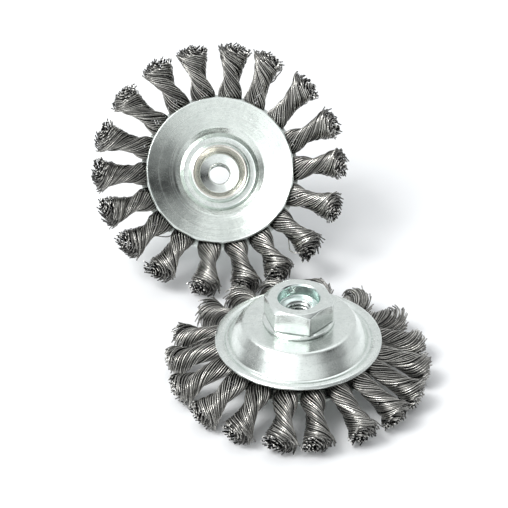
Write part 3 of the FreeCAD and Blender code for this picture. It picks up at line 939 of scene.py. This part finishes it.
def build_knot(brush, number):
    """All wires of one knot as one piece over its CAD node."""
    knot = Knot(brush, number)
    points, walls, caps, tones, painted_lights = [], [], [], [], []
    first = 0
    for paths, leaning, tone, painted_light in knot_wires(knot) + [loop_wires()] + bowed_wires(knot):
        placed = keep_above_table(brush, knot.to_brush(paths))
        made, wall, cap = sweep_tubes(placed, leaning @ knot.axes)
        points.append(made)
        walls.append(wall + first)
        caps.append(cap + first)
        tones.append(np.repeat(tone, paths.shape[1] * WIRE_SIDES))
        painted_lights.append((painted_light[..., None] * SPOKE_PAINTED_LIGHT).ravel())
        first += len(made)
    walls = np.concatenate(walls)
    caps = np.concatenate(caps)
    ends = np.concatenate([np.zeros(len(walls)), np.ones(len(caps))])
    piece = make_piece(knot.name + "_wires", brush, np.concatenate(points), [walls, caps],
                       [WIRE_STEEL, CUT_STEEL], face_slots=ends, flat_faces=ends > 0,
                       values={"wire_tone": np.concatenate(tones),
                               "wire_painted_light": np.concatenate(painted_lights)})
    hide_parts(knot.name)
    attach(piece, brush.body)


# --- the two brushes --------------------------------------------------------------------------

for made_brush in BRUSHES:
    build_nut(made_brush)
    build_plates(made_brush)
    for knot_number in range(1, KNOT_COUNT + 1):
        build_knot(made_brush, knot_number)
    for hidden in ("spacer_ring", "holder_disc"):
        shown = frame["nodes"]["%s_%s" % (made_brush.side, hidden)]
        for material_slot in shown.material_slots:
            material_slot.material = HIDDEN_STEEL


# --- table, light, camera ---------------------------------------------------------------------

# Half the side of the table top, in metres, and its two tones.
TABLE_HALF = 6.0
TABLE_DARK = (0.90, 0.905, 0.915)
TABLE_LIGHT = (0.925, 0.93, 0.935)


def build_table():
    """Large pale table top."""
    mesh = bpy.data.meshes.new("table_top")
    corners = [(TABLE_HALF * x, TABLE_HALF * y, 0) for x, y in ((-1, -1), (1, -1), (1, 1), (-1, 1))]
    mesh.from_pydata(corners, [], [(0, 1, 2, 3)])
    table = bpy.data.objects.new("table_top", mesh)
    bpy.context.scene.collection.objects.link(table)
    material, tree, shader = new_material("pale_table")
    soft = noise(tree, node(tree, "ShaderNodeTexCoord").outputs["Object"], 3.0, 2.0, 0.5)
    link(tree, blend_colours(tree, soft, TABLE_DARK, TABLE_LIGHT), shader.inputs["Base Color"])
    shader.inputs["Roughness"].default_value = 0.6
    shader.inputs["Specular IOR Level"].default_value = 0.2
    mesh.materials.append(material)


# Soft light patches and dark gaps of the studio: azimuth, elevation, inner and outer half angle in
# degrees, and the brightness added. Azimuth is counted from +X towards +Y.
STUDIO = [
    (232, 40, 24, 37, 0.74),
    (196, 56, 10, 24, 0.60),
    (-90, 18, 12, 34, 0.26),
    (-90, 51, 10, 24, -0.30),
    (90, 38, 15, 50, 0.02),
    (90, 68, 8, 26, 0.28),
    (45, 62, 7, 20, 0.45),
    (-25, 26, 12, 32, -0.54),
    (-11, 54, 13, 30, -0.42),
    (187, 17, 11, 28, -0.50),
]
STUDIO_BASE = 0.80
STUDIO_LEAST = 0.03
STUDIO_COLOUR = (0.965, 0.985, 1.0)
BACKDROP = (0.93, 0.94, 0.955)


def build_world():
    """Studio surroundings that light the brushes, behind a plain backdrop for the camera."""
    world = bpy.data.worlds.new("studio")
    bpy.context.scene.world = world
    world.use_nodes = True
    tree = world.node_tree
    tree.nodes.clear()
    direction = node(tree, "ShaderNodeTexCoord").outputs["Generated"]
    total = None
    for azimuth, elevation, inner, outer, strength in STUDIO:
        a, e = math.radians(azimuth), math.radians(elevation)
        middle = (math.cos(e) * math.cos(a), math.cos(e) * math.sin(a), math.sin(e))
        nearness = node(tree, "ShaderNodeVectorMath", operation="DOT_PRODUCT")
        link(tree, direction, nearness.inputs[0])
        nearness.inputs[1].default_value = middle
        patch = node(tree, "ShaderNodeMapRange", interpolation_type="SMOOTHSTEP")
        link(tree, nearness.outputs["Value"], patch.inputs["Value"])
        patch.inputs["From Min"].default_value = math.cos(math.radians(outer))
        patch.inputs["From Max"].default_value = math.cos(math.radians(inner))
        part = calc(tree, "MULTIPLY", patch.outputs[0], strength)
        total = part if total is None else calc(tree, "ADD", total, part)
    level = calc(tree, "MAXIMUM", calc(tree, "ADD", total, STUDIO_BASE), STUDIO_LEAST)
    studio = node(tree, "ShaderNodeBackground")
    studio.inputs["Color"].default_value = (*STUDIO_COLOUR, 1.0)
    link(tree, level, studio.inputs["Strength"])
    plain = node(tree, "ShaderNodeBackground")
    plain.inputs["Color"].default_value = (*BACKDROP, 1.0)
    seen = node(tree, "ShaderNodeMixShader")
    link(tree, node(tree, "ShaderNodeLightPath").outputs["Is Camera Ray"], seen.inputs[0])
    link(tree, studio.outputs[0], seen.inputs[1])
    link(tree, plain.outputs[0], seen.inputs[2])
    out = node(tree, "ShaderNodeOutputWorld")
    link(tree, seen.outputs[0], out.inputs[0])


def aim(thing, direction):
    """Turns a lamp or the camera to look along a direction."""
    thing.rotation_euler = direction.to_track_quat("-Z", "Y").to_euler()


# The softbox looks at the row's origin; metres and watts.
KEY_PLACE = Vector((-0.85, -0.45, 1.45))
KEY_SIDE = 0.7
KEY_POWER = 16.0


def add_key_softbox():
    """Soft key light from the upper left."""
    light = bpy.data.lights.new("key_softbox", "AREA")
    light.shape = "SQUARE"
    light.size = KEY_SIDE
    light.energy = KEY_POWER
    lamp = bpy.data.objects.new("key_softbox", light)
    bpy.context.scene.collection.objects.link(lamp)
    lamp.location = KEY_PLACE
    aim(lamp, -KEY_PLACE)


CAMERA_LENS = 216.8
CAMERA_SENSOR = 36.0
# The camera and its aim, from the middle of the front brush's crown.
CAMERA_PLACE = (-0.0165, -0.9124, 0.6713)
CAMERA_AIM = (-0.0165, 0.0294, 0.0092)


def build_camera():
    """Camera at the photograph's viewing angle."""
    data = bpy.data.cameras.new("camera")
    data.lens = CAMERA_LENS
    data.sensor_width = CAMERA_SENSOR
    data.clip_start = 0.01
    data.clip_end = 50.0
    camera = bpy.data.objects.new("camera", data)
    bpy.context.scene.collection.objects.link(camera)
    crown = Vector(BRUSHES[0].origin * MM)
    camera.location = crown + Vector(CAMERA_PLACE)
    aim(camera, crown + Vector(CAMERA_AIM) - camera.location)
    bpy.context.scene.camera = camera


build_table()
build_world()
add_key_softbox()
build_camera()
bpy.context.scene.view_settings.view_transform = "Standard"
